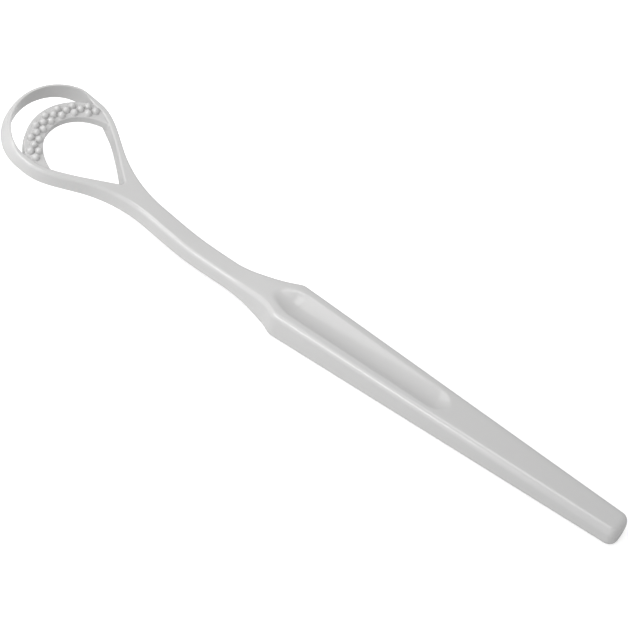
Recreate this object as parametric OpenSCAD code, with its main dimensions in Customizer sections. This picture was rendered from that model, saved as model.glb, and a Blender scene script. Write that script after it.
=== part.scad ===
// Tongue scraper in one stiff plastic: a tapered handle with a thumb hollow, a slender
// neck, and a teardrop head that carries a scraping blade and a bed of rounded nubs.
// X runs from the head to the end of the handle, Z is up, and the flat underside of the
// handle lies on Z = 0. Each zone of the moulding is a solid of its own, and the zones
// meet face to face.

/* [Handle] */
// Length of the handle from its shoulder to its rounded end
handle_length = 95.2; // [80:0.1:110]
// Width of the handle at the shoulder
shoulder_width = 13.5; // [11:0.1:16]
// Width of the handle at its end
end_width = 7.5; // [6:0.1:10]
// Thickness of the handle at the shoulder
shoulder_height = 7.8; // [6.8:0.1:10]
// Thickness of the handle at its end
end_height = 5.3; // [4.4:0.1:7]
// Radius of the long edges at the shoulder
shoulder_edge = 1.2; // [0.6:0.1:1.8]
// Radius of the long edges at the end
end_edge = 1.6; // [1:0.1:2]
// Radius that rounds the end of the handle
end_round = 2.2; // [1:0.1:2.6]

/* [Thumb hollow] */
// Length of the thumb hollow
hollow_length = 50; // [30:1:70]
// Distance that the hollow starts ahead of the shoulder
hollow_lead = 3.6; // [2:0.1:4.5]
// Width of the hollow near the shoulder
hollow_width = 8.2; // [5:0.1:9]
// Width of the hollow near its rear end
hollow_rear_width = 6; // [4:0.1:7]
// Depth of the hollow near the shoulder
hollow_depth = 1.7; // [0.6:0.1:2.4]
// Depth of the hollow near its rear end
hollow_rear_depth = 1; // [0.5:0.1:2]
// Length over which each end of the hollow is rounded
hollow_end = 4.2; // [3:0.1:6]

/* [Neck] */
// Width of the neck at its thinnest
neck_width = 5.5; // [4.5:0.1:7]
// Height of the neck's top where it lies lowest
neck_top = 5.4; // [4.8:0.1:6.2]
// Height of the neck's underside where it lies lowest
neck_lift = 0.3; // [0.1:0.1:0.8]
// Length over which the neck widens into the shoulder
flare_length = 17; // [12:0.5:20]
// Length of the last part of the flare, which belongs to the handle
shoulder_length = 5; // [4.6:0.1:6]
// Radius of the neck's long edges
neck_edge = 1; // [0.5:0.1:1.6]

/* [Head] */
// Upward tilt of the head, in degrees
head_tilt = 11.9; // [8:0.1:15]
// Distance from the shoulder to the widest place of the loop, along the head
loop_distance = 72.5; // [68:0.5:80]
// Width of the loop across its top edges
loop_width = 29; // [26:0.1:34]
// Length from the widest place of the loop to the tip of the blade
loop_nose = 12.6; // [11:0.1:16]
// Thickness of the head where the neck meets the fork
fork_height = 5; // [4.2:0.1:6]
// Thickness of the arms at the loop
arm_height = 4.4; // [3.4:0.1:5]
// Width of the arms at their top
arm_width = 1.75; // [1.2:0.05:2.2]
// Slope of the sides where the fork opens into the arms, in degrees
fork_angle = 33.4; // [28:0.1:36]
// Length from the widest place of the loop to the apex of the opening
opening_length = 20.4; // [19:0.1:21.5]
// Half angle of the opening at its apex, in degrees
opening_angle = 38.3; // [36:0.1:40]
// Radius of the opening's apex
apex_radius = 1.2; // [0.6:0.1:1.6]
// Radius of the small edges of the head
head_edge = 0.35; // [0.1:0.05:0.5]

/* [Scraping blade] */
// Thickness of the blade's edge
blade_edge = 0.6; // [0.2:0.05:0.8]
// Reach of the blade's foot beyond its edge, outwards
blade_foot_out = 1.1; // [0.6:0.1:1.6]
// Reach of the blade's foot behind the front of its edge, inwards
blade_foot_in = 0.95; // [0.7:0.05:1.2]
// Height that the blade's edge stands above the arms at its tip
blade_rise = 1.3; // [0.8:0.1:2]
// Height that the blade's foot is lifted at its tip
blade_lift = 1.1; // [0:0.1:1.5]

/* [Nub bed] */
// Outer radius of the crescent bed
bed_outer = 16; // [15.6:0.1:16.2]
// Inner radius of the crescent bed
bed_inner = 11.3; // [10.8:0.1:11.8]
// Width of the bed on the centre line
bed_width = 4.8; // [4.6:0.1:5.2]
// Thickness of the bed
bed_thickness = 2.2; // [1.4:0.1:2.8]
// Depth of the bed's top below the top of the arms
bed_recess = 0.4; // [0.2:0.1:0.8]
// Distance of the nub rings' centre behind the widest place of the loop
bed_centre = 8.9; // [8.6:0.1:9.2]

/* [Nubs] */
// Diameter of a nub
nub_diameter = 1.7; // [1.2:0.1:1.8]
// Height of a nub
nub_height = 1.6; // [0.8:0.1:2]
// Radius of the outer ring of nubs
nub_ring_outer = 14.6; // [14.4:0.1:14.8]
// Radius of the middle ring of nubs
nub_ring_middle = 13.6; // [13.4:0.1:13.8]
// Radius of the inner ring of nubs
nub_ring_inner = 12.5; // [12.4:0.1:12.7]
// Angle between the nubs of one ring, in degrees
nub_angle = 16.2; // [15:0.1:16.5]
// Number of nubs in the outer ring and in the inner ring
nub_count = 7; // [3:2:7]

/* [Hidden] */
plastic = [0.84, 0.85, 0.84];
// Steps of each rounded corner, and steps across the hollow
corner_steps = 5;
hollow_steps = 12;
bend_steps = 3;
// Overrun of the shapes that cut the opening and the flat underside
overrun = 1;
// Depth that the cut for the flat underside takes off the handle
sole_cut = 0.08;
// Shares of the rounding at the handle's end that its top and its underside follow
top_pull_share = 0.7;
foot_pull_share = 0.1;
// Share of the end's rounding at which the handle is closed by a flat face
end_close_share = 0.985;
// Half width of the row of points across the handle's top where there is no hollow
plain_share = 0.1;
// Largest share of a side that a corner's curve takes
reach_share = 0.45;

// Half width of the flare at places along it: each pair is a share of its length and
// the share of the step from the neck's width to the shoulder's width
flare_shares = [[0, 0], [0.18, 0.05], [0.3, 0.11], [0.5, 0.25], [0.65, 0.38], [0.76, 0.51], [0.82, 0.6],
                [0.88, 0.72], [0.94, 0.85], [0.98, 0.94], [1.05, 1]];
// Underside: shares of the flare's length between which it comes down to the base
settle_shares = [0.3, 0.75];
// Widths over which the line of the head blends into the level neck
top_blend = 0.6;
foot_blend = 0.4;

// Height at which the line of the head's top would cross the shoulder
head_line = -0.42;
// Ends of the stretch over which the neck's sections lean with the head
lean_start = 18;
lean_length = 15;

tip_distance = loop_distance + loop_nose;
half_loop = loop_width / 2;
half_neck = neck_width / 2;
apex_distance = loop_distance - opening_length;
// The arc that leads from the neck into the straight side of the fork, and the length from
// its start to the widest place of the loop
fork_reach = 31;
arc_start = loop_distance - fork_reach;
arc_radius = 30.5;
// Length ahead of the widest place over which the sides already run level
level_length = 1.2;
level_start = loop_distance - level_length;
fork_end = arc_start + arc_radius * sin(fork_angle);
// Angle from the tip, in degrees, at which the blade ends and the arms begin
blade_angle = 78;
// Distances between which the foot of the wall is lifted, from the arms to the blade
lift_lead = 6.5;
lift_start = loop_distance - lift_lead;
lift_length = 15;
// Distances between which the foot of the wall moves out from under its top
foot_lead = 3.5;
foot_start = loop_distance - foot_lead;
foot_length = 10.5;
// Share of the foot's reach that the outer face has at half height, which makes it bulge
belly_share = 0.75;
// Distances between which the wall's flat top narrows to the blade's edge, and between
// which its foot narrows, a little later
thin_lead = 0.8;
thin_start = loop_distance - thin_lead;
thin_length = 6;
slim_start = loop_distance + thin_lead;
slim_length = 10;
// Distances between which the blade's edge rises above the top of the arms
rise_lag = 1;
rise_start = loop_distance + rise_lag;
rise_length = 4.5;

nose_x = -(tip_distance + blade_foot_out) * cos(head_tilt) - (arm_height - blade_lift) * sin(head_tilt);
origin_shift = -(handle_length + nose_x) / 2;

function mix(a, b, t) = a + (b - a) * t;
function clamp_share(t) = min(1, max(0, t));
function ease(t) = let (c = clamp_share(t)) c * c * (3 - 2 * c);
function soft_max(a, b, s) = max(a, b) + s * ln(1 + exp(-abs(a - b) / s));
// Smooth reading of a table of shares: a cubic through its points that never overshoots
function along(t, table) = read_table(t, table, 0);
function slope_between(a, b) = (b[1] - a[1]) / (b[0] - a[0]);
function table_slope(table, i) =
    i == 0 || i == len(table) - 1 ? 0 :
    let (before = slope_between(table[i - 1], table[i]), after = slope_between(table[i], table[i + 1]))
    before * after <= 0 ? 0 : 2 * before * after / (before + after);
function read_table(t, table, i) =
    t <= table[0][0] ? table[0][1] :
    t >= table[len(table) - 1][0] ? table[len(table) - 1][1] :
    t > table[i + 1][0] ? read_table(t, table, i + 1) :
    let (p = table[i], q = table[i + 1], h = q[0] - p[0], s = (t - p[0]) / h,
         m = table_slope(table, i) * h, n = table_slope(table, i + 1) * h)
    p[1] * (1 + 2 * s) * (1 - s) * (1 - s) + m * s * (1 - s) * (1 - s)
    + q[1] * s * s * (3 - 2 * s) - n * s * s * (1 - s);

// Side profile. The top follows the tilted line of the head, levels out along the neck
// and rises again to the shoulder; behind the shoulder it falls evenly to the end.
function head_top(x) = head_line - x * tan(head_tilt);
function top_height(x) =
    soft_max(head_top(x), neck_top, top_blend)
    + (shoulder_height - neck_top) * ease((x + flare_length) / flare_length)
    - (shoulder_height - end_height) * max(0, x) / handle_length;
function settled(x) =
    ease((x / flare_length + 1 - settle_shares[0]) / (settle_shares[1] - settle_shares[0]));
function bottom_height(x) =
    (soft_max(head_top(x) - fork_height / cos(head_tilt), neck_lift, foot_blend)) * (1 - settled(x));

// Plan. Half widths of the handle and the neck at a place x, before the end is rounded
function side_line(x) = mix(shoulder_width, end_width, max(0, x) / handle_length) / 2;
function flared(x) = along(x / flare_length + 1, flare_shares);
function half_width(x) = mix(half_neck, side_line(x), flared(x));
// Radius of the long edges at x, from the neck to the end of the handle
function edge_radius(x) =
    x < 0 ? mix(neck_edge, shoulder_edge, flared(x)) :
    mix(shoulder_edge, end_edge, clamp_share(x / handle_length));

// Thumb hollow: its half width and its depth at a place x
function hollow_place(x) = clamp_share((x + hollow_lead) / hollow_length);
function round_end(d) = let (c = clamp_share(d / hollow_end)) sqrt(max(0, 1 - (1 - c) * (1 - c)));
function hollow_fade(x) = round_end(x + hollow_lead) * round_end(hollow_length - hollow_lead - x);
function hollow_half(x) = hollow_fade(x) * mix(hollow_width, hollow_rear_width, hollow_place(x)) / 2;
function hollow_sink(x) = hollow_fade(x) * mix(hollow_depth, hollow_rear_depth, hollow_place(x));

function arc(cy, cz, r, from, to) =
    [for (i = [0:corner_steps]) let (a = mix(from, to, i / corner_steps))
        [cy + r * cos(a), cz + r * sin(a)]];

// Section of the handle at x: a rounded box whose top dips along the hollow. The end
// values draw the section in, so that the last ones round the handle's end.
function handle_section(x) =
    let (
        past = max(0, x - handle_length + end_round),
        pull = end_round - sqrt(max(0, end_round * end_round - past * past)),
        w = half_width(x) - pull,
        top = top_height(x) - pull * top_pull_share,
        bottom = bottom_height(x) + pull * foot_pull_share - sole_cut,
        r = min(edge_radius(x), (top - bottom) / 2, w),
        hw = max(hollow_half(x), w * plain_share),
        sink = hollow_sink(x)
    )
    [for (p = concat(
        arc(w - r, bottom + r, r, -90, 0),
        arc(w - r, top - r, r, 0, 90),
        [for (i = [0:hollow_steps]) let (s = 1 - 2 * i / hollow_steps) [s * hw, top - sink * (1 - s * s)]],
        arc(r - w, top - r, r, 90, 180),
        arc(r - w, bottom + r, r, 180, 270)
    )) [x, p[0], p[1]]];

// Section of the neck at x. It leans with the line of the head, more and more towards it.
function lean(x) = head_tilt * ease((-x - lean_start) / lean_length);
function neck_section(x) =
    let (
        a = lean(x),
        top = top_height(x),
        bottom = bottom_height(x),
        middle = (top + bottom) / 2,
        rise = (top - bottom) / 2 * cos(a),
        w = half_width(x),
        r = edge_radius(x)
    )
    [for (p = concat(
        arc(w - r, r - rise, r, -90, 0),
        arc(w - r, rise - r, r, 0, 90),
        arc(r - w, rise - r, r, 90, 180),
        arc(r - w, r - rise, r, 180, 270)
    )) [x + p[1] * sin(a), p[0], middle + p[1] * cos(a)]];

// The head lies in a tilted frame of its own: u runs along it from the shoulder towards
// the handle, v across it, and k up from the top of the arms.
module in_head() {
    translate([origin_shift, 0, head_line])
        rotate([0, head_tilt, 0])
            children();
}

// Plan of the head: half width of its outer outline at the distance d from the shoulder
function outer_half(d) =
    d <= arc_start ? half_neck :
    d <= fork_end ?
        half_neck + arc_radius - sqrt(arc_radius * arc_radius - (d - arc_start) * (d - arc_start)) :
    mix(half_neck, half_loop, outer_share(d));
function fork_half() = half_neck + arc_radius * (1 - cos(fork_angle));
function outer_share(d) =
    let (
        start = (fork_half() - half_neck) / (half_loop - half_neck),
        t = clamp_share((d - fork_end) / (level_start - fork_end)),
        climb = tan(fork_angle) * (level_start - fork_end) / (half_loop - half_neck)
    )
    start * (1 + 2 * t) * (1 - t) * (1 - t) + climb * t * (1 - t) * (1 - t) + t * t * (3 - 2 * t);
// The wall of an arm is arm_width thick, and its inner side follows the opening's wedge
function outer_angle(d) = atan((outer_half(d + overrun / 2) - outer_half(d - overrun / 2)) / overrun);
function wedge_half(d) =
    (d - apex_distance + apex_radius * (1 / sin(opening_angle) - 1)) * tan(opening_angle);
function wall_half(d) = outer_half(d) - arm_width / cos(outer_angle(min(d, loop_distance - overrun)));
function inner_half(d) = min(wedge_half(d), wall_half(d));
// Thickness of the head at the distance d, from the top plane of the arms to the foot
function head_height(d) =
    mix(fork_height, arm_height, ease((d - arc_start) / (lift_start - arc_start)))
    - blade_lift * ease((d - lift_start) / lift_length);

// A corner drawn as a short curve that starts and ends r before and after it
function bend(before, p, after, r) =
    let (
        a = p + (before - p) * min(reach_share, r / norm(before - p)),
        b = p + (after - p) * min(reach_share, r / norm(after - p))
    )
    [for (i = [0:bend_steps]) let (t = i / bend_steps)
        a * (1 - t) * (1 - t) + p * 2 * t * (1 - t) + b * t * t];
// Section of the wall of the loop, in lengths outwards from its top outer edge and up
function wall_section(top_in, foot_out, foot_in, top, bottom) =
    let (
        belly = [foot_out * belly_share, (top + bottom) / 2],
        q = [[foot_out, bottom], belly, [0, top], [-top_in, top], [-foot_in, bottom]],
        r = min(head_edge, top_in / 3)
    )
    [for (i = [0:4]) each bend(q[(i + 4) % 5], q[i], q[(i + 1) % 5], i == 1 ? (top - bottom) / 5 : r)];
function wall_at(place, out, section) =
    [for (p = section) [place[0] + out[0] * p[0], place[1] + out[1] * p[0], p[1]]];

function foot_out(d) = blade_foot_out * ease((d - foot_start) / foot_length);
// Section of an arm, on the side v > 0, across the head at the distance d
function arm_ring(d) =
    let (w = outer_half(d) - inner_half(d))
    wall_at([-d, outer_half(d)], [0, 1], wall_section(w, foot_out(d), w, 0, -head_height(d)));
// Section of the wall at an angle from the tip: from the arm's at the widest place to the blade's
function nose_out(a) = let (n = [-half_loop * cos(a), loop_nose * sin(a)]) n / norm(n);
function nose_rise(d) =
    mix(blade_rise / 2, blade_rise, (d - loop_distance) / loop_nose) * ease((d - rise_start) / rise_length);
function nose_place(a) = [-loop_distance - loop_nose * cos(a), half_loop * sin(a)];
function thinned(d) = ease((d - thin_start) / thin_length);
function foot_in(d) = mix(arm_width, blade_foot_in, ease((d - slim_start) / slim_length));
function nose_ring(a) =
    let (d = -nose_place(a)[0])
    wall_at(nose_place(a), nose_out(a), wall_section(
        mix(arm_width, blade_edge, thinned(d)), foot_out(d), foot_in(d), nose_rise(d), -head_height(d)));

// A closed skin over a row of sections that all have the same number of points
module skin(rings) {
    n = len(rings[0]);
    last = (len(rings) - 1) * n;
    polyhedron(
        points = [for (r = rings) each r],
        faces = concat(
            [[for (i = [0:n - 1]) i]],
            [for (j = [0:n:last - n]) for (i = [0:n - 1]) let (k = (i + 1) % n)
                each [[j + i, j + n + i, j + n + k], [j + i, j + n + k, j + k]]],
            [[for (i = [n - 1:-1:0]) last + i]]
        ),
        convexity = 8
    );
}
function steps(from, to, n) = [for (i = [0:n]) mix(from, to, i / n)];
function tail(list) = [for (i = [1:len(list) - 1]) list[i]];

module handle() {
    places = concat(
        steps(-shoulder_length, hollow_end - hollow_lead, 14),
        tail(steps(hollow_end - hollow_lead, hollow_length - hollow_lead - hollow_end, 6)),
        tail(steps(hollow_length - hollow_lead - hollow_end, hollow_length - hollow_lead, 6)),
        [handle_length - end_round],
        [for (a = [15:15:90]) handle_length - end_round + end_round * sin(a) * end_close_share]
    );
    color(plastic)
        translate([origin_shift, 0, 0])
            difference() {
                skin([for (x = places) handle_section(x)]);
                translate([-shoulder_length - overrun, -shoulder_width, -overrun])
                    cube([handle_length + shoulder_length + 2 * overrun, 2 * shoulder_width, overrun]);
            }
}

module neck() {
    front = -arc_start * cos(head_tilt) - fork_height / 2 * sin(head_tilt);
    color(plastic)
        translate([origin_shift, 0, 0])
            skin([for (x = steps(front, -shoulder_length, 28)) neck_section(x)]);
}

// Section of the fork at the distance d: the neck's section, wider and with finer edges
function fork_section(d) =
    let (
        w = outer_half(d),
        h = head_height(d),
        r = mix(neck_edge, head_edge, ease((d - arc_start) / (fork_end - arc_start)))
    )
    [for (p = concat(
        arc(w - r, r - h, r, -90, 0),
        arc(w - r, -r, r, 0, 90),
        arc(r - w, -r, r, 90, 180),
        arc(r - w, r - h, r, 180, 270)
    )) [-d, p[0], p[1]]];
// Outline of the opening's apex: a circle whose tangents are the sides of the wedge
module apex_outline() {
    centre = -apex_distance - apex_radius;
    touch = apex_radius * [sin(opening_angle), cos(opening_angle)];
    far = fork_end + overrun;
    translate([centre, 0])
        circle(apex_radius, $fn = 48);
    polygon([
        [centre + touch[0], touch[1]],
        [-far, wedge_half(far)],
        [-far, -wedge_half(far)],
        [centre + touch[0], -touch[1]]
    ]);
}
module fork() {
    color(plastic)
        in_head()
            difference() {
                skin([for (d = steps(fork_end, arc_start, 10)) fork_section(d)]);
                translate([0, 0, -fork_height - overrun])
                    linear_extrude(fork_height + 2 * overrun)
                        apex_outline();
            }
}

// One arm, on the side v > 0, from the fork round the widest place to the blade
arm_places = steps(fork_end, loop_distance, 14);
module arm() {
    skin(concat(
        [for (i = [2:-1:1]) nose_ring(mix(90, blade_angle, i / 2))],
        [for (i = [len(arm_places) - 1:-1:0]) arm_ring(arm_places[i])]
    ));
}
module left_arm() {
    color(plastic)
        in_head()
            mirror([0, 1, 0])
                arm();
}
module right_arm() {
    color(plastic)
        in_head()
            arm();
}

module scraper_blade() {
    color(plastic)
        in_head()
            skin([for (a = steps(blade_angle, -blade_angle, 40)) nose_ring(a)]);
}

// Inner side of the wall, from the blade back to the fork, as the arms have it
function nose_inner(a) = nose_place(a) - nose_out(a) * foot_in(-nose_place(a)[0]);
bed_middle = [bed_centre - loop_distance, 0];
inner_middle = [bed_middle[0] - bed_outer + bed_width + bed_inner, 0];
wall_points = concat(
    [for (i = [2:-1:1]) nose_inner(mix(90, blade_angle, i / 2))],
    [for (i = [len(arm_places) - 1:-1:0]) [-arm_places[i], inner_half(arm_places[i])]]
);
// The crescent bed: a ring between two circles, cut off by the inner sides of the wall
module nub_bed() {
    color(plastic)
        in_head()
            translate([0, 0, -bed_recess - bed_thickness])
                linear_extrude(bed_thickness)
                    intersection() {
                        difference() {
                            translate(bed_middle)
                                circle(bed_outer, $fn = 96);
                            translate(inner_middle)
                                circle(bed_inner, $fn = 96);
                        }
                        polygon(concat(
                            wall_points,
                            [for (i = [len(wall_points) - 1:-1:0]) [wall_points[i][0], -wall_points[i][1]]],
                            [[-tip_distance, -half_loop / 2], [-tip_distance, half_loop / 2]]
                        ));
                    }
}

// One nub: an egg-shaped dome, widest at its foot
module nub() {
    turns = 7;
    rotate_extrude($fn = 24)
        polygon(concat(
            [[0, 0]],
            [for (a = steps(0, 90, turns)) [nub_diameter / 2 * cos(a), nub_height * sin(a)]]
        ));
}
module nub_ring(radius, count) {
    for (i = [0:count - 1]) {
        a = nub_angle * (i - (count - 1) / 2);
        translate([bed_middle[0] - radius * cos(a), radius * sin(a), -bed_recess])
            nub();
    }
}
module nubs() {
    color(plastic)
        in_head() {
            nub_ring(nub_ring_outer, nub_count);
            nub_ring(nub_ring_middle, nub_count + 1);
            nub_ring(nub_ring_inner, nub_count);
        }
}

handle();
neck();
fork();
left_arm();
right_arm();
scraper_blade();
nub_bed();
nubs();
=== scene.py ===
# Tongue scraper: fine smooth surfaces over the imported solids, one piece for each zone of the moulding.
# All shapes are worked out in millimetres from the shoulder of the handle
# and laid into the part's frame at the end.
import math
import bpy
import numpy as np
from mathutils import Matrix, Vector


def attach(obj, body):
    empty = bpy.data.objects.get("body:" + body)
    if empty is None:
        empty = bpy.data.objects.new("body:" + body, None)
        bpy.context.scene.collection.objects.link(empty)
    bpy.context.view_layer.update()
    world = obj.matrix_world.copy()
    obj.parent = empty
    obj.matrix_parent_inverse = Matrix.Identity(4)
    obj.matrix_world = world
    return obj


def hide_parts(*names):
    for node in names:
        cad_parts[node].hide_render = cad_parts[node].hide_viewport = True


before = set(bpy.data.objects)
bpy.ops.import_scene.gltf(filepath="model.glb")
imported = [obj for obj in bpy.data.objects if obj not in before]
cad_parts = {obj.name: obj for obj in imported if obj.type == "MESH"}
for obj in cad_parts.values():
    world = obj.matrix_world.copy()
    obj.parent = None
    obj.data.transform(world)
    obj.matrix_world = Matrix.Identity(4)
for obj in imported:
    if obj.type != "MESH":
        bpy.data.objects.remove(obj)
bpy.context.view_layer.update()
print("frame loaded with", len(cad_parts), "nodes")


# small formulas that several pieces use
def mix(a, b, t):  # straight blend: a and t times the way to b
    return a + (b - a) * t


def ease(t):  # smooth step: three t squared less two t cubed, held between nought and one
    c = np.clip(t, 0, 1)
    return c * c * (3 - 2 * c)


def softMax(a, b, s, share=1):  # the larger value, and a share of s times the log of one plus exp(-gap / s)
    return np.maximum(a, b) + share * s * np.log1p(np.exp(-np.abs(a - b) / s))


def along(t, table):  # cubic through the pairs of a table; harmonic means as slopes keep it from overshooting
    p = np.array(table, float)
    step = np.diff(p[:, 0])
    rise = np.diff(p[:, 1]) / step
    slope = np.zeros(len(p))
    turns = rise[:-1] * rise[1:]
    slope[1:-1] = np.where(turns > 0, 2 * turns / (rise[:-1] + rise[1:] + 1e-12), 0)
    t = np.clip(t, p[0, 0], p[-1, 0])
    i = np.clip(np.searchsorted(p[:, 0], t, side="right") - 1, 0, len(p) - 2)
    s = (t - p[i, 0]) / step[i]
    return (p[i, 1] * (1 + 2 * s) * (1 - s) ** 2 + slope[i] * step[i] * s * (1 - s) ** 2
            + p[i + 1, 1] * s * s * (3 - 2 * s) - slope[i + 1] * step[i] * s * s * (1 - s))


def unit(v):  # each vector of the last axis divided by its length
    return v / np.linalg.norm(v, axis=-1, keepdims=True)


def corner(start, tip, stop, steps):
    # conic arc that leaves both ends towards the tip: the weights are (1 - t) squared,
    # root two times t (1 - t) and t squared, divided by their sum
    t = np.linspace(0, 1, steps + 1)[:, None]
    w = np.stack([(1 - t) ** 2, math.sqrt(2) * t * (1 - t), t ** 2])
    w = w / w.sum(0)
    return w[0] * start[..., None, :] + w[1] * tip[..., None, :] + w[2] * stop[..., None, :]


def between(a, b, steps):  # the points strictly between two points, evenly spread on a straight line
    t = np.linspace(0, 1, steps + 1)[1:-1, None]
    return mix(a[..., None, :], b[..., None, :], t)


def ruled(a, b, steps):  # rows of straight lines from each point of one line to its partner on another
    return mix(a[:, None, :], b[:, None, :], np.linspace(0, 1, steps + 1)[:, None])


def rowsBetween(a, b, step):  # even places from a to b, about one step apart
    return np.linspace(a, b, max(2, int(round(abs(b - a) / step)) + 1))


# grids of surface and flat ends, kept until all zones are known so that shading runs on over the seams
skins = []
caps = {}


def layGrid(zone, points, closed, outwards):  # quads between neighbouring rows and columns, facing outwards
    rows, cols = points.shape[:2]
    index = np.arange(rows * cols).reshape(rows, cols)
    if closed:
        index = np.concatenate([index, index[:, :1]], 1)
    quads = np.stack([index[:-1, :-1], index[1:, :-1], index[1:, 1:], index[:-1, 1:]], -1).reshape(-1, 4)
    flat = points.reshape(-1, 3)
    side = np.broadcast_to(outwards, points.shape).reshape(-1, 3)
    normal = np.cross(flat[quads[:, 2]] - flat[quads[:, 0]], flat[quads[:, 3]] - flat[quads[:, 1]])
    if (normal * side[quads[:, 0]]).sum() < 0:
        quads = quads[:, ::-1]
    skins.append((zone, flat, quads))


def layCap(zone, loop, outwards):  # a flat face where the next zone begins: a fan from the middle of its loop
    caps.setdefault(zone, []).append((loop, np.array(outwards, float)))


# handle and neck: one bar, whose rounded section changes along its length
handle = dict(length=95.2, shoulderWidth=13.5, endWidth=7.5, shoulderHeight=7.8, endHeight=5.3,
              shoulderEdge=1.2, endEdge=1.6, endRound=2.2, endTrim=0.04, topPullShare=0.7, footPullShare=0.1,
              rowStep=0.4, endRows=15, capRows=5)
hollow = dict(length=50.3, lead=3.9, width=8.6, rearWidth=6.4, depth=1.7, rearDepth=1,
              bowLength=7, bowPower=1.5, endLength=4.2, endPower=2, rimShare=0.2)
neck = dict(width=5.5, top=5.5, lift=0.65, flare=17, shoulder=5, edge=1, leanStart=18, leanLength=15,
            topBlend=0.6, footBlend=0.4, blendStart=34, blendLength=7, settleShares=(0.3, 0.75), rowStep=0.5,
            flareShares=[[0, 0], [0.18, 0.05], [0.3, 0.11], [0.5, 0.25], [0.65, 0.38], [0.76, 0.51],
                         [0.82, 0.6], [0.88, 0.72], [0.94, 0.85], [0.98, 0.94], [1.05, 1]])
head = dict(tilt=math.radians(11.9), line=-0.42, loopDistance=72.5, loopWidth=28.95, loopNose=12.6,
            forkHeight=5, armHeight=4.4, armWidth=1.75, forkReach=31, arcRadius=30.5,
            forkAngle=math.radians(33.4), openingLength=20.4, openingAngle=math.radians(38.3), apexRadius=1.2,
            levelLength=1.2, wedgeBlend=0.05, turnLength=3, outerEdge=0.55, outerDrop=0.8, innerEdge=0.45,
            footEdge=0.35, draft=0.35, draftStart=62, draftLength=5, apexDraftShare=0.35)
crown = dict(reach=2.4, reachShare=0.55, bend=0.045, widen=0.09)  # slight fall of the top towards its edges
cornerSteps, sideSteps, flatSteps, ruleSteps = 10, 8, 60, 6

cosTilt, sinTilt = math.cos(head["tilt"]), math.sin(head["tilt"])


def headTop(x):  # tilted straight line of the head's top
    return head["line"] - x * math.tan(head["tilt"])


def flared(x):  # share of the step from the neck's width to the shoulder's, read from the flare's pairs
    return along(x / neck["flare"] + 1, neck["flareShares"])


def blendShare(x):  # the rounding between the head's line and the level neck dies away where the fork begins
    return 1 - ease((-x - neck["blendStart"]) / neck["blendLength"])


def topHeight(x):  # the head's line, levelled out along the neck, then up to the shoulder and evenly down
    return (softMax(headTop(x), neck["top"], neck["topBlend"], blendShare(x))
            + (handle["shoulderHeight"] - neck["top"]) * ease((x + neck["flare"]) / neck["flare"])
            - (handle["shoulderHeight"] - handle["endHeight"]) * np.maximum(0, x) / handle["length"])


def footHeight(x):  # underside: parallel to the head's line, then down to the flat sole
    start, stop = neck["settleShares"]
    settled = ease((x / neck["flare"] + 1 - start) / (stop - start))
    line = headTop(x) - head["forkHeight"] / cosTilt
    return softMax(line, neck["lift"], neck["footBlend"], blendShare(x)) * (1 - settled)


def halfWidth(x):  # neck's half width blended into the straight taper of the handle
    taper = mix(handle["shoulderWidth"], handle["endWidth"], np.maximum(0, x) / handle["length"]) / 2
    return mix(neck["width"] / 2, taper, flared(x)) + crown["widen"]


def edgeRadius(x):  # radius of the long edges, growing towards the end of the handle
    return np.where(x < 0, mix(neck["edge"], handle["shoulderEdge"], flared(x)),
                    mix(handle["shoulderEdge"], handle["endEdge"], np.clip(x / handle["length"], 0, 1)))


def crownDrop(inwards, half, share):  # the fall grows with the square of the way past the crown's start
    reach = np.minimum(crown["reach"], crown["reachShare"] * half)
    return crown["bend"] * np.maximum(0, reach - inwards) ** 2 * share


def hollowDip(x, y):
    # a trough with a pointed bow and a round rear: the depth times one, less the square of y over the half
    # width, less powers of the ways that are left to bow and rear, softened along the rim
    place = np.clip((x + hollow["lead"]) / hollow["length"], 0, 1)
    front = np.maximum(0, 1 - (x + hollow["lead"]) / hollow["bowLength"]) ** hollow["bowPower"]
    toRear = hollow["length"] - hollow["lead"] - x
    rear = np.maximum(0, 1 - toRear / hollow["endLength"]) ** hollow["endPower"]
    inside = 1 - (2 * y / mix(hollow["width"], hollow["rearWidth"], place)) ** 2 - front - rear
    rim = hollow["rimShare"]
    softened = np.where(inside > rim, inside, np.maximum(0, inside + rim) ** 2 / (4 * rim))
    return mix(hollow["depth"], hollow["rearDepth"], place) * softened


def barSections(x, pull):
    # closed rounded boxes across the bar, leaning with the head's line; pull draws them in at the end
    lean = head["tilt"] * ease((-x - neck["leanStart"]) / neck["leanLength"])
    top = topHeight(x) - pull * handle["topPullShare"]
    foot = footHeight(x) + pull * handle["footPullShare"]
    half = halfWidth(x) - pull
    rise = (top - foot) / 2 * np.cos(lean)
    r = np.minimum(edgeRadius(x), np.minimum(rise, half))
    at = lambda y, h: np.stack([y, h], -1)
    right = [corner(at(half - r, -rise), at(half, -rise), at(half, r - rise), cornerSteps),
             between(at(half, r - rise), at(half, rise - r), sideSteps),
             corner(at(half, rise - r), at(half, rise), at(half - r, rise), cornerSteps)]
    over = between(at(half - r, rise), at(r - half, rise), flatSteps)
    left = [np.flip(part, 1) * [-1, 1] for part in reversed(right)]
    under = between(at(r - half, -rise), at(half - r, -rise), flatSteps)
    ring = np.concatenate([*right, over, *left, under], 1)
    first = sum(part.shape[1] for part in right)
    dip = hollowDip(x[:, None], over[..., 0])
    share = (ring[..., 1] / rise[:, None] + 1) / 2
    ring[..., 1] -= crownDrop(half[:, None] - np.abs(ring[..., 0]), half[:, None], share)
    ring[:, first:first + over.shape[1], 1] -= dip
    tilted = lean[:, None]
    return np.stack([x[:, None] + ring[..., 1] * np.sin(tilted), ring[..., 0],
                     (top + foot)[:, None] / 2 + ring[..., 1] * np.cos(tilted)], -1)


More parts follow.
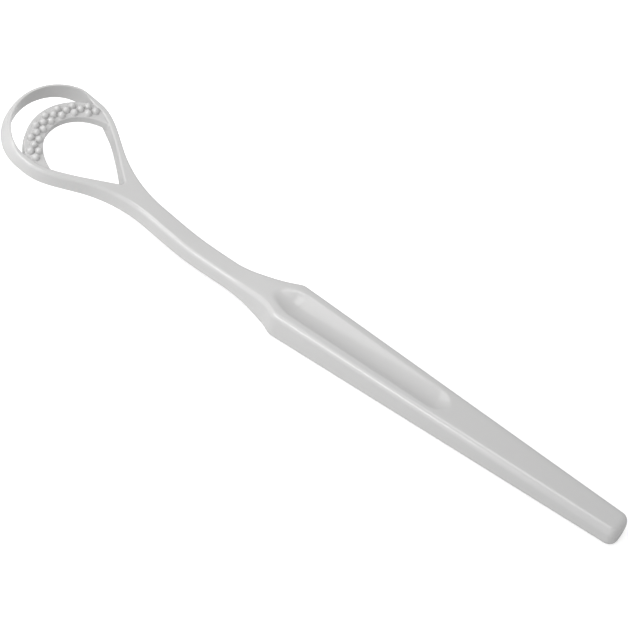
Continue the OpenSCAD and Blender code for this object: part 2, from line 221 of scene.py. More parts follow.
forkStart = head["loopDistance"] - head["forkReach"]
neckFront = -forkStart * cosTilt - head["forkHeight"] / 2 * sinTilt
neckX = rowsBetween(neckFront, -neck["shoulder"], neck["rowStep"])
neckRings = barSections(neckX, np.zeros(len(neckX)))

# the handle's end: rows crowd along a quarter turn while the section draws in, then shrink to a point
roundFrom = handle["length"] - handle["endRound"]
turn = np.linspace(0, math.pi / 2, handle["endRows"] + 1)[1:]
gripX = np.concatenate([rowsBetween(-neck["shoulder"], roundFrom, handle["rowStep"]),
                        roundFrom + (handle["endRound"] - handle["endTrim"]) * np.sin(turn)])
gripPull = np.concatenate([np.zeros(len(gripX) - len(turn)), handle["endRound"] * (1 - np.cos(turn))])
gripRings = barSections(gripX, gripPull)
endRing = gripRings[-1]
shrink = np.linspace(1, 0, handle["capRows"] + 1)[1:, None, None]
gripRings = np.concatenate([gripRings, mix(endRing.mean(0), endRing, shrink)])

layGrid("handle", gripRings, True, gripRings - gripRings.mean(1, keepdims=True))
layGrid("neck", neckRings, True, neckRings - neckRings.mean(1, keepdims=True))
layCap("handle", gripRings[0], [-1, 0, 0])
layCap("neck", neckRings[-1], [1, 0, 0])
layCap("neck", neckRings[0], [-cosTilt, 0, sinTilt])
print("handle and neck:", gripRings.shape[:2], neckRings.shape[:2])


# head: worked out in its own tilted frame, u along it towards the handle, v across, k up from the arms' top;
# d is the distance ahead of the shoulder
blade = dict(edge=0.6, footOut=1.1, footIn=0.95, rise=1.3, lift=1.1, span=math.radians(78), edgeRound=0.38,
             edgeDrop=1.0, innerRound=0.12, footLead=3.5, footLength=10.5, liftLead=6.5, liftLength=15,
             thinLead=0.8, thinLength=6, slimLag=0.8, slimLength=10, riseLag=1, riseLength=4.5, rows=90)
arm = dict(rowStep=0.3, slopeReach=0.05, widthReach=0.5)

halfNeck, halfLoop = neck["width"] / 2 + crown["widen"], head["loopWidth"] / 2
forkEnd = forkStart + head["arcRadius"] * math.sin(head["forkAngle"])
apexDistance = head["loopDistance"] - head["openingLength"]
levelStart = head["loopDistance"] - head["levelLength"]


def fromHead(p):  # head coordinates turned about the cross axis by the tilt, then set on the head's line
    u, v, k = p[..., 0], p[..., 1], p[..., 2]
    return np.stack([u * cosTilt + k * sinTilt, v, head["line"] - u * sinTilt + k * cosTilt], -1)


def outerHalf(d):
    # outer outline: an arc out of the neck, then a cubic that leaves the arc straight on and ends level
    reach = halfLoop - halfNeck
    r = head["arcRadius"]
    swing = halfNeck + r - np.sqrt(np.maximum(r * r - np.clip(d - forkStart, 0, forkEnd - forkStart) ** 2, 0))
    start = r * (1 - math.cos(head["forkAngle"])) / reach
    climb = math.tan(head["forkAngle"]) * (levelStart - forkEnd) / reach
    t = np.clip((d - forkEnd) / (levelStart - forkEnd), 0, 1)
    share = start * (1 + 2 * t) * (1 - t) ** 2 + climb * t * (1 - t) ** 2 + t * t * (3 - 2 * t)
    return np.where(d <= forkEnd, swing, mix(halfNeck, halfLoop, share))


def slopeAt(half, d, reach):  # slope of an outline: the change over a short way, divided by that way
    return (half(d + reach) - half(d - reach)) / (2 * reach)


def innerHalf(d):  # inner outline: the lesser of the opening's wedge and the outer outline less the wall
    slant = math.tan(head["openingAngle"])
    wedge = (d - apexDistance + head["apexRadius"] * (1 / math.sin(head["openingAngle"]) - 1)) * slant
    held = np.minimum(d, head["loopDistance"] - 2 * arm["widthReach"])
    angle = np.arctan(slopeAt(outerHalf, held, arm["widthReach"]))
    return -softMax(-wedge, -(outerHalf(d) - head["armWidth"] / np.cos(angle)), head["wedgeBlend"])


def headHeight(d):  # thickness: thins from the fork to the arms, and the foot lifts towards the blade
    liftFrom = head["loopDistance"] - blade["liftLead"]
    return (mix(head["forkHeight"], head["armHeight"], ease((d - forkStart) / (liftFrom - forkStart)))
            - blade["lift"] * ease((d - liftFrom) / blade["liftLength"]))


def footOut(d):  # reach of the foot beyond the top edge, eased in along the arms
    return blade["footOut"] * ease((d - head["loopDistance"] + blade["footLead"]) / blade["footLength"])


def noseRise(d):  # height of the blade's edge over the arms: grows evenly to the tip, eased in at the arms
    past = d - head["loopDistance"]
    return (mix(blade["rise"] / 2, blade["rise"], past / head["loopNose"])
            * ease((past - blade["riseLag"]) / blade["riseLength"]))


def thinned(d):  # nought on the arms, one where the top has narrowed to the blade's edge
    return ease((d - head["loopDistance"] + blade["thinLead"]) / blade["thinLength"])


def slimmed(d):  # the same for the foot, a little later
    return ease((d - head["loopDistance"] - blade["slimLag"]) / blade["slimLength"])


def flip(p):  # the same plan points on the other side of the centre line
    return p * [1, -1]


def planNormals(p):  # unit normals of a plan curve by central differences, on the left of its run
    t = np.gradient(p, axis=0)
    return unit(np.stack([-t[:, 1], t[:, 0]], -1))


def wallRings(outer, outerN, innerTop, innerFoot, innerN, d, neckShare):
    # closed profile of the wall at each station: a rounded toe, a face that bows out by one less the square
    # of its height's share, a rounded brim, a flat top, a rounded lip, a straight inner face, a round sole
    atHeight = lambda plan, k: np.concatenate([plan, np.broadcast_to(k, d.shape)[:, None]], -1)
    top, foot = noseRise(d), -headHeight(d)
    high = top - foot
    thin = thinned(d)
    reach = footOut(d)
    drop = mix(mix(head["outerDrop"], neck["edge"], neckShare), blade["edgeDrop"], thin)
    back = mix(mix(head["outerEdge"], neck["edge"], neckShare), blade["edgeRound"], thin)
    toe = mix(head["footEdge"], neck["edge"], neckShare)
    lip = mix(head["innerEdge"], blade["innerRound"], thin)
    sole = np.minimum(toe, head["footEdge"])
    low, up = toe / high, 1 - drop / high
    bowed = lambda s: (reach * (1 - s * s))[:, None]
    brim = reach * (1 - up) ** 2
    toeStart = atHeight(outer + outerN * (reach - toe)[:, None], foot)
    toeTip = atHeight(outer + outerN * reach[:, None], foot)
    toeStop = atHeight(outer + outerN * bowed(low), foot + toe)
    brimStart = atHeight(outer + outerN * bowed(up), top - drop)
    brimTip = atHeight(outer + outerN * brim[:, None], top)
    brimStop = atHeight(outer + outerN * (brim - back)[:, None], top)
    s = mix(low[:, None], up[:, None], np.linspace(0, 1, sideSteps + 1)[1:-1])
    facePlan = outer[:, None, :] + outerN[:, None, :] * (reach[:, None] * (1 - s * s))[..., None]
    face = np.concatenate([facePlan, (foot[:, None] + high[:, None] * s)[..., None]], -1)
    innerAt = lambda k: mix(innerFoot, innerTop, ((k - foot) / high)[:, None])
    lipStart = atHeight(innerTop + innerN * lip[:, None], top)
    lipStop = atHeight(innerAt(top - lip), top - lip)
    soleStart = atHeight(innerAt(foot + sole), foot + sole)
    soleStop = atHeight(innerFoot + innerN * sole[:, None], foot)
    outside = np.concatenate([corner(toeStart, toeTip, toeStop, cornerSteps), face,
                              corner(brimStart, brimTip, brimStop, cornerSteps)], 1)
    inwards = ((outer[:, None] - outside[..., :2]) * outerN[:, None]).sum(-1)
    share = (outside[..., 2] - foot[:, None]) / high[:, None]
    outside[..., 2] -= np.reshape(neckShare, (-1, 1)) * crownDrop(inwards, halfNeck, share)
    inside = np.concatenate([corner(lipStart, atHeight(innerTop, top), lipStop, cornerSteps),
                             between(lipStop, soleStart, sideSteps),
                             corner(soleStart, atHeight(innerFoot, foot), soleStop, cornerSteps)], 1)
    over = between(outside[:, -1], lipStart, ruleSteps)
    under = between(soleStop, toeStart, ruleSteps)
    return outside, over, inside, under


def sideNormals(half, d):  # plan normals of the right-hand side of an outline
    return unit(np.stack([slopeAt(half, d, arm["slopeReach"]), np.ones(len(d))], -1))


# the arms and the blade: stations from the fork round the tip and back, the left half mirrored from the right
armD = rowsBetween(forkEnd, head["loopDistance"], arm["rowStep"])
armOuter, armOuterN = np.stack([-armD, outerHalf(armD)], -1), sideNormals(outerHalf, armD)
armInner = np.stack([-armD, innerHalf(armD)], -1)
turnShare = ease((armD - head["loopDistance"] + head["turnLength"]) / head["turnLength"])[:, None]
armInnerN = unit(mix(sideNormals(innerHalf, armD), armOuterN, turnShare))
draftShare = 1 - ease((armD - head["draftStart"]) / head["draftLength"])
armFoot = armInner + armInnerN * (head["draft"] * draftShare)[:, None]

noseA = np.linspace(math.pi / 2, 0, blade["rows"] + 1)[1:]
noseOuter = np.stack([-head["loopDistance"] - head["loopNose"] * np.cos(noseA), halfLoop * np.sin(noseA)], -1)
noseN = unit(np.stack([-halfLoop * np.cos(noseA), head["loopNose"] * np.sin(noseA)], -1))
noseD = -noseOuter[:, 0]
noseTopIn = noseOuter - noseN * mix(head["armWidth"], blade["edge"], thinned(noseD))[:, None]
noseFootIn = noseOuter - noseN * mix(head["armWidth"], blade["footIn"], slimmed(noseD))[:, None]

stations = np.concatenate([armD, noseD])
halfWall = wallRings(np.concatenate([armOuter, noseOuter]), np.concatenate([armOuterN, noseN]),
                     np.concatenate([armInner, noseTopIn]), np.concatenate([armFoot, noseFootIn]),
                     np.concatenate([armInnerN, noseN]), stations, np.zeros(len(stations)))
halfRings = np.concatenate(halfWall, 1)
wall = fromHead(np.concatenate([halfRings, halfRings[-2::-1] * [1, -1, 1]]))
bladeFrom = len(armD) + int(np.argmin(np.abs(noseA - blade["span"])))
bladeTo = len(wall) - 1 - bladeFrom
wallOut = wall - wall.mean(1, keepdims=True)
wallZones = [("right_arm", 0, bladeFrom), ("scraper_blade", bladeFrom, bladeTo),
             ("left_arm", bladeTo, len(wall) - 1)]
for zone, first, last in wallZones:
    layGrid(zone, wall[first:last + 1], True, wallOut[first:last + 1])
    layCap(zone, wall[first], wall[first].mean(0) - wall[first + 1].mean(0))
    layCap(zone, wall[last], wall[last].mean(0) - wall[last - 1].mean(0))
print("arms and blade:", wall.shape[:2])


# fork: its inner wall follows the opening round the apex, its outer walls the outline down to the neck,
# and the top and the underside are ruled between them
forkRows = 40
beta = head["openingAngle"]
touch = apexDistance + head["apexRadius"] * (1 - math.sin(beta))  # where the apex circle meets the wedge
innerD = np.linspace(forkEnd, touch, forkRows + 1)
outerD = np.linspace(forkEnd, forkStart, forkRows + 1)
legTop, legN = np.stack([-innerD, innerHalf(innerD)], -1), sideNormals(innerHalf, innerD)
legN[-1] = [math.sin(beta), math.cos(beta)]
apexA = np.linspace(math.pi / 2 - beta, beta - math.pi / 2, flatSteps + 1)
apexN = np.stack([np.cos(apexA), np.sin(apexA)], -1)
apexTop = [-apexDistance - head["apexRadius"], 0] + head["apexRadius"] * apexN
legTop[-1] = apexTop[0]
openTop = np.concatenate([legTop[:-1], apexTop, flip(legTop)[-2::-1]])
openN = np.concatenate([legN[:-1], apexN, flip(legN)[-2::-1]])
openD = -openTop[:, 0]
apexShare = ease((openD - apexDistance) / (forkEnd - apexDistance))
openDraft = head["draft"] * mix(head["apexDraftShare"], 1, apexShare)
openFoot = openTop + openN * openDraft[:, None]

edgePlan, edgeN = np.stack([-outerD, outerHalf(outerD)], -1), sideNormals(outerHalf, outerD)
edgeN[-1] = [0, 1]
edgeN[0] = armOuterN[0]
neckShare = 1 - ease((outerD - forkStart) / (forkEnd - forkStart))
outside = wallRings(edgePlan, edgeN, legTop, openFoot[:forkRows + 1], legN, outerD, neckShare)[0]
rightSide = fromHead(outside)
leftSide = rightSide[::-1] * [1, -1, 1]
layGrid("fork", rightSide, False, [0, 1, 0])
layGrid("fork", leftSide, False, [0, -1, 0])

# inner wall of the opening: the same lip, straight face and sole carried along the whole opening
depth = headHeight(openD)
raised = lambda plan, k: np.concatenate([plan, np.broadcast_to(k, openD.shape)[:, None]], -1)
openAt = lambda k: mix(openFoot, openTop, ((k + depth) / depth)[:, None])
lipStart = raised(openTop + openN * head["innerEdge"], 0)
lipStop = raised(openAt(-head["innerEdge"]), -head["innerEdge"])
soleStart = raised(openAt(head["footEdge"] - depth), head["footEdge"] - depth)
soleStop = raised(openFoot + openN * head["footEdge"], -depth)
innerWall = fromHead(np.concatenate([corner(lipStart, raised(openTop, 0), lipStop, cornerSteps),
                                     between(lipStop, soleStart, sideSteps),
                                     corner(soleStart, raised(openFoot, -depth), soleStop, cornerSteps)], 1))
intoOpening = fromHead(np.concatenate([-openN, np.zeros((len(openN), 1))], -1)) - fromHead(np.zeros(3))
layGrid("fork", innerWall, False, intoOpening[:, None, :])

# rims of the top and of the underside: along the outer edges and straight across the neck's end
neckRing = neckRings[0]
firstOver = 2 * (cornerSteps + 1) + sideSteps - 1
across = neckRing[firstOver:firstOver + flatSteps - 1]
firstUnder = 2 * firstOver + flatSteps - 1
below = neckRing[firstUnder:firstUnder + flatSteps - 1][::-1]
topRim = np.concatenate([rightSide[:, -1], across, leftSide[:, -1]])
footRim = np.concatenate([rightSide[:, 0], below, leftSide[:, 0]])
layGrid("fork", ruled(topRim, innerWall[:, 0], ruleSteps), False, [sinTilt, 0, cosTilt])
layGrid("fork", ruled(footRim, innerWall[:, -1], ruleSteps), False, [-sinTilt, 0, -cosTilt])
layCap("fork", neckRing, [cosTilt, 0, -sinTilt])
layCap("fork", wall[0], wall[1].mean(0) - wall[0].mean(0))
layCap("fork", wall[-1], wall[-2].mean(0) - wall[-1].mean(0))
print("fork:", len(topRim), "stations")


# nub bed: a crescent slab between two circles, its ends sunk in the arms, its inner corners filleted
bed = dict(outer=16, inner=11.3, width=4.8, thickness=2.2, recess=0.4, centre=8.9, edge=0.3, sole=0.2,
           fillet=1.5, sink=1.0, sweep=1.6, sweepSteps=1600, circleRows=200, filletRows=40, sinkRows=10,
           sinkShare=0.05, rows=150, edgeSteps=6, sideSteps=4, topSteps=12)
bedMiddle = np.array([bed["centre"] - head["loopDistance"], 0])
innerMiddle = bedMiddle + [bed["width"] + bed["inner"] - bed["outer"], 0]
bedTop = -bed["recess"]
sidePlan = np.concatenate([(armInner + armFoot) / 2, (noseTopIn + noseFootIn) / 2])
sideN = np.concatenate([armInnerN, noseN])


def sunk(p):  # how far plan points lie beyond the wall's inner side, along the normal of its nearest point
    near = np.argmin(((p[:, None, :] - sidePlan[None]) ** 2).sum(-1), 1)
    return ((p - sidePlan[near]) * sideN[near]).sum(-1)


def spread(p, count):  # a plan curve read again at evenly spaced lengths
    s = np.concatenate([[0], np.cumsum(np.linalg.norm(np.diff(p, axis=0), axis=1))])
    t = np.linspace(0, s[-1], count)
    return np.stack([np.interp(t, s, p[:, 0]), np.interp(t, s, p[:, 1])], -1)


def circle(middle, radius, angles):  # plan points at a radius, with angles turned from the tip's direction
    return middle + radius * np.stack([-np.cos(angles), np.sin(angles)], -1)


def slabRings(outer, outerN, inner, innerN, top, foot):  # closed profile of a flat slab with rounded edges
    at = lambda plan, k: np.concatenate([plan, np.full((len(plan), 1), k)], -1)
    edge, sole, few = bed["edge"], bed["sole"], bed["sideSteps"]
    out = [corner(at(outer - outerN * sole, foot), at(outer, foot), at(outer, foot + sole), few),
           between(at(outer, foot + sole), at(outer, top - edge), few),
           corner(at(outer, top - edge), at(outer, top), at(outer - outerN * edge, top), bed["edgeSteps"])]
    back = [corner(at(inner + innerN * edge, top), at(inner, top), at(inner, top - edge), bed["edgeSteps"]),
            between(at(inner, top - edge), at(inner, foot + sole), few),
            corner(at(inner, foot + sole), at(inner, foot), at(inner + innerN * sole, foot), few)]
    over = between(out[2][:, -1], back[0][:, 0], bed["topSteps"])
    under = between(back[2][:, -1], out[0][:, 0], bed["topSteps"])
    return np.concatenate([*out, over, *back, under], 1)


rim = circle(bedMiddle, bed["outer"], np.linspace(0, bed["sweep"], bed["sweepSteps"] + 1))
rim = rim[:int(np.argmax(sunk(rim) > bed["sink"])) + 1]
balls = sidePlan[:len(armD)] - sideN[:len(armD)] * bed["fillet"]  # centres of a ball that rolls along the arm
gap = np.linalg.norm(balls - innerMiddle, axis=1) - (bed["inner"] - bed["fillet"])
seat = int(np.argmin(np.abs(gap)))
toCircle, toArm = unit(balls[seat] - innerMiddle), sideN[seat]
circleEnd = math.atan2(toCircle[1], -toCircle[0])
filletShare = np.linspace(0, 1, bed["filletRows"])[:, None]
sinkShare = np.linspace(bed["sinkShare"], 1, bed["sinkRows"])[:, None]
lipCurve = np.concatenate([circle(innerMiddle, bed["inner"], np.linspace(0, circleEnd, bed["circleRows"])),
                           balls[seat] + bed["fillet"] * unit(mix(toCircle, toArm, filletShare)),
                           sidePlan[seat] + toArm * bed["sink"] * sinkShare])
outerLine, innerLine = spread(rim, bed["rows"]), spread(lipCurve, bed["rows"])
outerLine = np.concatenate([outerLine[::-1], flip(outerLine)[1:]])
innerLine = np.concatenate([innerLine[::-1], flip(innerLine)[1:]])
outerSide, innerSide = planNormals(outerLine), planNormals(innerLine)
outerSide *= np.sign((outerSide * (outerLine - bedMiddle)).sum(-1, keepdims=True))
innerSide *= -np.sign(innerSide[bed["rows"] - 1, 0])
bedRings = fromHead(slabRings(outerLine, outerSide, innerLine, innerSide, bedTop, bedTop - bed["thickness"]))
layGrid("nub_bed", bedRings, True, bedRings - bedRings.mean(1, keepdims=True))
layCap("nub_bed", bedRings[0], bedRings[0].mean(0) - bedRings[2].mean(0))
layCap("nub_bed", bedRings[-1], bedRings[-1].mean(0) - bedRings[-3].mean(0))
print("nub bed:", bedRings.shape[:2])


# nubs: egg-shaped domes in three rings; the radius follows the cosine of the rise and the height its sine,
# and the foot has a flare that fades with height
nub = dict(diameter=1.98, height=1.22, rings=[(14.6, 7), (13.6, 8), (12.5, 7)], angle=math.radians(16.2),
           flare=0.10, flareHeight=0.2, sink=0.06, rows=14, around=28)
rise = np.linspace(0, math.pi / 2, nub["rows"])
domeK = nub["height"] * np.sin(rise)
domeR = nub["diameter"] / 2 * np.cos(rise) + nub["flare"] * np.exp(-domeK / nub["flareHeight"])
domeR[-1] = 0
domeR = np.concatenate([domeR[:1], domeR])[:, None]
domeK = np.concatenate([[-nub["sink"]], domeK])[:, None]
spin = np.linspace(0, 2 * math.pi, nub["around"], endpoint=False)
dome = np.stack([domeR * np.cos(spin), domeR * np.sin(spin), domeK + 0 * spin], -1)
nubCount = 0
for radius, count in nub["rings"]:
    angles = nub["angle"] * (np.arange(count) - (count - 1) / 2)
    for u, v in circle(bedMiddle, radius, angles):
        place = np.array([u, v, bedTop])
        one = fromHead(dome + place)
        layGrid("nubs", one, True, one - fromHead(place + [0, 0, nub["height"] / 4]))
        layCap("nubs", one[0], [-sinTilt, 0, -cosTilt])
    nubCount += count
print("nubs:", nubCount)


# the grids become meshes: doubles welded, shading normals taken over all zones together
noseX = -(head["loopDistance"] + head["loopNose"] + blade["footOut"]) * cosTilt
noseX -= (head["armHeight"] - blade["lift"]) * sinTilt
shiftX = -(handle["length"] + noseX) / 2
weldSteps = 1e5  # steps in a millimetre: points that round to the same step are one


def weld():  # merges equal points, and adds up the faces' area vectors at each point for its shading normal
    points, faces, zones, flat, base = [], [], [], [], 0
    for zone, p, quads in skins:
        points.append(p)
        faces.append(quads + base)
        zones += [zone] * len(quads)
        flat.append(np.zeros((len(quads), 3)))
        base += len(p)
    for zone, loops in caps.items():
        for loop, outwards in loops:
            n = len(loop)
            ids = np.arange(n)
            fan = np.stack([ids, np.roll(ids, -1), np.full(n, n), np.full(n, n)], -1)
            p = np.concatenate([loop, loop.mean(0)[None]])
            total = np.cross(p[fan[:, 1]] - p[n], p[fan[:, 0]] - p[n]).sum(0)
            if total @ outwards > 0:
                fan = fan[:, [1, 0, 2, 3]]
            points.append(p)
            faces.append(fan + base)
            zones += [zone] * n
            flat.append(np.broadcast_to(unit(outwards), (n, 3)))
            base += len(p)
    points, faces, flat = np.concatenate(points), np.concatenate(faces), np.concatenate(flat)
    zones = np.array(zones)
    keys = np.round(points * weldSteps).astype(np.int64)
    first, same = np.unique(keys, axis=0, return_index=True, return_inverse=True)[1:]
    points, faces = points[first], same.reshape(-1)[faces]
    area = np.cross(points[faces[:, 2]] - points[faces[:, 0]], points[faces[:, 3]] - points[faces[:, 1]])
    smooth = ~flat.any(1)
    normals = np.zeros_like(points)
    for k in range(4):
        np.add.at(normals, faces[smooth, k], area[smooth])
    return points, faces, zones, flat, smooth, unit(normals + 1e-12)


def facesOf(zone, welded):
    # one zone's faces: quads, or triangles where two corners have welded; what has fewer corners goes
    points, faces, zones, flat, smooth, normals = welded
    own = zones == zone
    quads, flats, isSmooth = faces[own], flat[own], smooth[own]
    thin = quads == np.roll(quads, -1, 1)
    keep = thin.sum(1) < 2
    quads, flats, isSmooth, thin = quads[keep], flats[keep], isSmooth[keep], thin[keep]
    a, b, c, d = quads.T
    three = np.where(thin[:, :1], np.stack([b, c, d], 1),
                     np.where(thin[:, 1:2], np.stack([a, b, d], 1), np.stack([a, b, c], 1)))
    tris = thin.any(1)
    loops = np.where(tris[:, None], np.concatenate([three, np.full((len(three), 1), -1)], 1), quads)
    cornerNormals = np.where(isSmooth[:, None, None], normals[np.maximum(loops, 0)], flats[:, None, :])
    return loops[loops >= 0], cornerNormals[loops >= 0], np.where(tris, 3, 4)


def makePiece(name, zone, welded):  # one zone as a closed mesh in metres, with a normal for each corner
    cornerPoints, cornerNormals, counts = facesOf(zone, welded)
    used, index = np.unique(cornerPoints, return_inverse=True)
    mesh = bpy.data.meshes.new(name)
    mesh.vertices.add(len(used))
    mesh.vertices.foreach_set("co", ((welded[0][used] + [shiftX, 0, 0]) / 1000).ravel())
    mesh.loops.add(len(index))
    mesh.loops.foreach_set("vertex_index", index.astype(np.int32).ravel())
    mesh.polygons.add(len(counts))
    mesh.polygons.foreach_set("loop_start", np.concatenate([[0], np.cumsum(counts)[:-1]]).astype(np.int32))
    mesh.polygons.foreach_set("loop_total", counts.astype(np.int32))
    mesh.polygons.foreach_set("use_smooth", np.ones(len(counts), bool))
    mesh.update(calc_edges=True)
    if mesh.validate():
        print("mesh", name, "had faults that were mended")
    else:
        mesh.normals_split_custom_set(cornerNormals)
    piece = bpy.data.objects.new(name, mesh)
    bpy.context.scene.collection.objects.link(piece)
    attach(piece, "root")
    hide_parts(zone)
    return piece


class Wire:  # a socket of a node tree; arithmetic on it adds Math nodes
    def __init__(self, tree, socket=None):
        self.tree = tree
        self.socket = socket

    def node(self, kind, settings=None, inputs=None, outlet=0):
        # any node: its type, its settings, then the values or links of its sockets
        made = self.tree.nodes.new(kind)
        for key, value in (settings or {}).items():
            setattr(made, key, value)
        for key, value in (inputs or {}).items():
            if isinstance(value, Wire):
                self.tree.links.new(value.socket, made.inputs[key])
            else:
                made.inputs[key].default_value = value
        return Wire(self.tree, made.outputs[outlet] if len(made.outputs) else None)

    def math(self, operation, a, b):
        return self.node("ShaderNodeMath", {"operation": operation}, {0: a, 1: b})

    def __add__(self, other):
        return self.math("ADD", self, other)

    def __radd__(self, other):
        return self.math("ADD", other, self)

    def __sub__(self, other):
        return self.math("SUBTRACT", self, other)

    def __rsub__(self, other):
        return self.math("SUBTRACT", other, self)

    def __mul__(self, other):
        return self.math("MULTIPLY", self, other)

    def __rmul__(self, other):
        return self.math("MULTIPLY", other, self)


def emptyTree(owner):  # the cleared node tree of a material or world, as a wire that nodes start from
    owner.use_nodes = True
    owner.node_tree.nodes.clear()
    return Wire(owner.node_tree)


# plastic: one light grey glossy moulding compound
plasticLook = dict(pale=(0.605, 0.60, 0.595, 1), cool=(0.58, 0.58, 0.58, 1), flowShare=0.8, roughness=0.12,
                   roughnessSwing=0.04, flowScale=55, flowDetail=3.0, flowCoarse=0.55,
                   flowStretch=(0.35, 1, 1), grainScale=1500, grainDetail=2.0, rippleScale=160,
                   rippleDetail=2.0, rippleCoarse=0.4, grainDepth=0.000012, rippleDepth=0.00003,
                   bumpStrength=0.6, specular=0.9, refraction=1.47)


def satinPlastic(name, look):
    # colour drifts slowly along the flow of the melt; a fine grain and long shallow ripples roughen and dent
    # the gloss: roughness swings with the mean of flow and grain, height is the sum of ripple and grain
    material = bpy.data.materials.new(name)
    tree = emptyTree(material)
    place = tree.node("ShaderNodeTexCoord", outlet="Object")
    drawn = tree.node("ShaderNodeMapping", {}, {"Vector": place, "Scale": look["flowStretch"]})
    flow = tree.node("ShaderNodeTexNoise", {}, {"Vector": drawn, "Scale": look["flowScale"],
                                                "Detail": look["flowDetail"],
                                                "Roughness": look["flowCoarse"]})
    grain = tree.node("ShaderNodeTexNoise", {}, {"Vector": place, "Scale": look["grainScale"],
                                                 "Detail": look["grainDetail"]})
    ripple = tree.node("ShaderNodeTexNoise", {}, {"Vector": drawn, "Scale": look["rippleScale"],
                                                  "Detail": look["rippleDetail"],
                                                  "Roughness": look["rippleCoarse"]})
    drift = flow * look["flowShare"] + grain * (1 - look["flowShare"])
    colour = tree.node("ShaderNodeMix", {"data_type": "RGBA"},
                       {0: drift, 6: look["pale"], 7: look["cool"]}, 2)
    roughness = look["roughness"] + look["roughnessSwing"] * (flow * 0.5 + grain * 0.5 - 0.5)
    height = ripple * look["rippleDepth"] + grain * look["grainDepth"]
    bump = tree.node("ShaderNodeBump", {}, {"Strength": look["bumpStrength"], "Distance": 1.0,
                                            "Height": height})
    shader = tree.node("ShaderNodeBsdfPrincipled", {}, {"Base Color": colour, "Roughness": roughness,
                                                        "Normal": bump, "IOR": look["refraction"],
                                                        "Specular IOR Level": look["specular"]})
    tree.node("ShaderNodeOutputMaterial", {}, {"Surface": shader})
    return material


welded = weld()
greyPlastic = satinPlastic("satinGreyPlastic", plasticLook)
pieceNames = dict(handle=("handleGrip", "handle_plastic"), neck=("neckBar", "neck_plastic"),
                  fork=("loopFork", "fork_plastic"), left_arm=("leftLoopArm", "arm_plastic"),
                  right_arm=("rightLoopArm", "arm_plastic"), scraper_blade=("scraperBlade", "blade_plastic"),
                  nub_bed=("nubBed", "bed_plastic"), nubs=("nubField", "nub_plastic"))
for zone, (name, slotName) in pieceNames.items():
    piece = makePiece(name, zone, welded)
    piece.data.materials.append(greyPlastic)
    print("piece", name, len(piece.data.polygons), "faces")


# floor and world
stageLook = dict(colour=(0.74, 0.74, 0.74, 1), glow=0.55, size=6.0, drop=2e-5, worldTone=0.555)
whiteLight = (1, 1, 1, 1)


def stageMaterial(name, look):
    # a matt floor that also glows a little towards the camera, so that it goes white but keeps the shadow
    material = bpy.data.materials.new(name)
    tree = emptyTree(material)
    seen = tree.node("ShaderNodeLightPath", outlet="Is Camera Ray")
    matt = tree.node("ShaderNodeBsdfDiffuse", {}, {"Color": look["colour"]})
    glow = tree.node("ShaderNodeEmission", {}, {"Color": whiteLight, "Strength": seen * look["glow"]})
    both = tree.node("ShaderNodeAddShader", {}, {0: matt, 1: glow})
    tree.node("ShaderNodeOutputMaterial", {}, {"Surface": both})
    return material


side, drop = stageLook["size"] / 2, -stageLook["drop"]
floorMesh = bpy.data.meshes.new("studioFloor")
floorMesh.from_pydata([(-side, -side, drop), (side, -side, drop), (side, side, drop), (-side, side, drop)],
                      [], [(0, 1, 2, 3)])
floorMesh.materials.append(stageMaterial("studioPaper", stageLook))
floor = bpy.data.objects.new("studioFloor", floorMesh)
bpy.context.scene.collection.objects.link(floor)

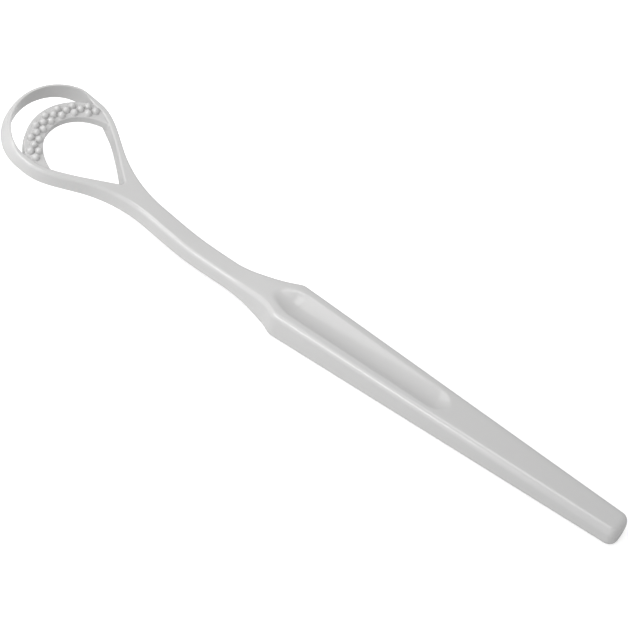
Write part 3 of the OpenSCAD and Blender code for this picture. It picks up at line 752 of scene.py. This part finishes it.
# the world is plain soft light, and white where the camera looks past the floor
world = bpy.data.worlds.new("studioAir")
bpy.context.scene.world = world
air = emptyTree(world)
seen = air.node("ShaderNodeLightPath", outlet="Is Camera Ray")
soft = air.node("ShaderNodeBackground", {}, {"Color": whiteLight, "Strength": stageLook["worldTone"]})
white = air.node("ShaderNodeBackground", {}, {"Color": whiteLight, "Strength": 1.0})
either = air.node("ShaderNodeMixShader", {}, {0: seen, 1: soft, 2: white})
air.node("ShaderNodeOutputWorld", {}, {"Surface": either})

# soft lamps, each turned towards the part's middle; places and sizes in metres
lampSizes = dict(
    frontLeft=dict(place=(-0.23, -0.48, 0.48), width=0.5, height=0.19, power=1.4),
    frontLow=dict(place=(-0.10, -0.20, 0.09), width=0.35, height=0.16, power=0.145),
    overHead=dict(place=(-0.09, -0.03, 0.18), width=0.2, height=0.15, power=0.09),
    above=dict(place=(-0.015, 0, 1.0), width=0.7, height=0.17, power=0.75))
for name, lamp in lampSizes.items():
    light = bpy.data.lights.new(name, "AREA")
    light.shape = "RECTANGLE"
    light.size, light.size_y, light.energy = lamp["width"], lamp["height"], lamp["power"]
    holder = bpy.data.objects.new(name, light)
    bpy.context.scene.collection.objects.link(holder)
    holder.visible_camera = False
    holder.location = lamp["place"]
    holder.rotation_euler = Vector(lamp["place"]).to_track_quat("Z", "Y").to_euler()

# camera at the photograph's viewing angle; its place is in millimetres from the shoulder
cameraView = dict(azimuth=23.8614, elevation=48.0294, roll=14.9129, place=(131.878, -281.617, 350.441),
                  lens=111.19, sensor=36, nearest=0.01, farthest=20)
cameraData = bpy.data.cameras.new("photoView")
cameraData.lens, cameraData.sensor_width = cameraView["lens"], cameraView["sensor"]
cameraData.clip_start, cameraData.clip_end = cameraView["nearest"], cameraView["farthest"]
camera = bpy.data.objects.new("photoView", cameraData)
bpy.context.scene.collection.objects.link(camera)
azimuth, elevation, roll = (math.radians(cameraView[key]) for key in ("azimuth", "elevation", "roll"))
back = Vector((math.sin(azimuth) * math.cos(elevation), -math.cos(azimuth) * math.cos(elevation),
               math.sin(elevation)))
level = Vector((math.cos(azimuth), math.sin(azimuth), 0))
sideways = level * math.cos(roll) + back.cross(level) * math.sin(roll)
turned = Matrix((sideways, back.cross(sideways), back)).transposed().to_4x4()
turned.translation = (Vector(cameraView["place"]) + Vector((shiftX, 0, 0))) / 1000
camera.matrix_world = turned
bpy.context.scene.camera = camera
bpy.context.scene.view_settings.view_transform = "Standard"
print("stage, lamps and camera are set")
